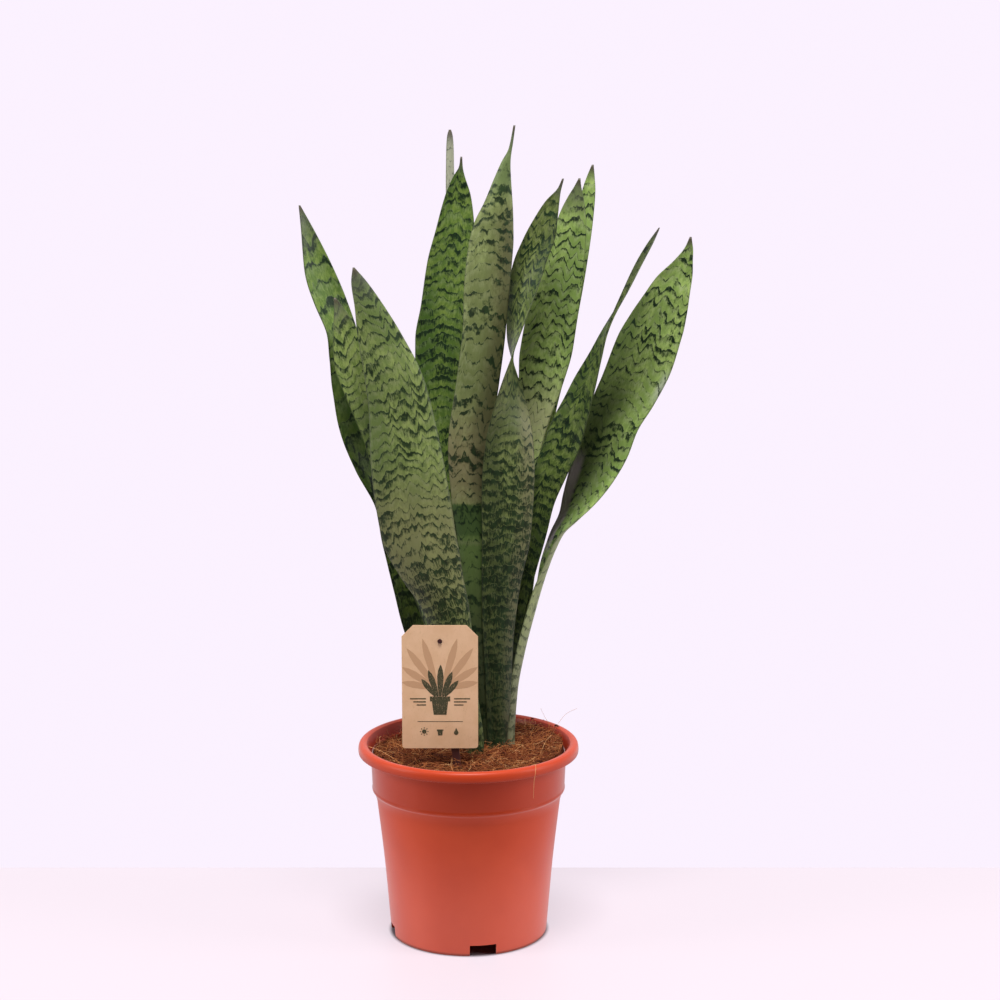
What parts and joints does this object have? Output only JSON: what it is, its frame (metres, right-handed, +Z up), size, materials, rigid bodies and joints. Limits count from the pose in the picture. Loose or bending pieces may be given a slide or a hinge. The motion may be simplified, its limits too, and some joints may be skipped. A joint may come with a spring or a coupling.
{
  "type": "potted plant",
  "caption": "Upright banded sword leaves in a plastic nursery pot of coir mix, with a card label on a stake.",
  "frame": {"origin": "on the pot's axis, at the flat pad under its floor, which is level with its foot", "axes": "+Z up, -Y to the front, which the label faces, +X to the right seen from the front"},
  "size_m": [0.2969, 0.17, 0.6222],
  "materials": {
    "pot": "satin",
    "potting_mix": "rough coir",
    "leaf_vivid": "waxy, banded",
    "leaf_olive": "waxy, banded",
    "leaf_pale": "waxy, banded",
    "leaf_dark": "waxy, banded",
    "label_card": "kraft, printed",
    "label_stake": "satin"
  },
  "bodies": {
    "root": {"pot": "pot", "potting_mix": "potting_mix", "leaf_far_left": "leaf_vivid", "leaf_left": "leaf_olive", "leaf_front_left": "leaf_olive", "leaf_back_left": "leaf_vivid", "leaf_middle_tall": "leaf_pale", "leaf_front_middle": "leaf_dark", "leaf_right_middle": "leaf_olive", "leaf_right_back": "leaf_olive", "leaf_right_twisted": "leaf_dark", "leaf_far_right": "leaf_vivid", "leaf_back_upright": "leaf_pale", "label_card": "label_card", "label_stake": "label_stake"}
  },
  "joints": []
}
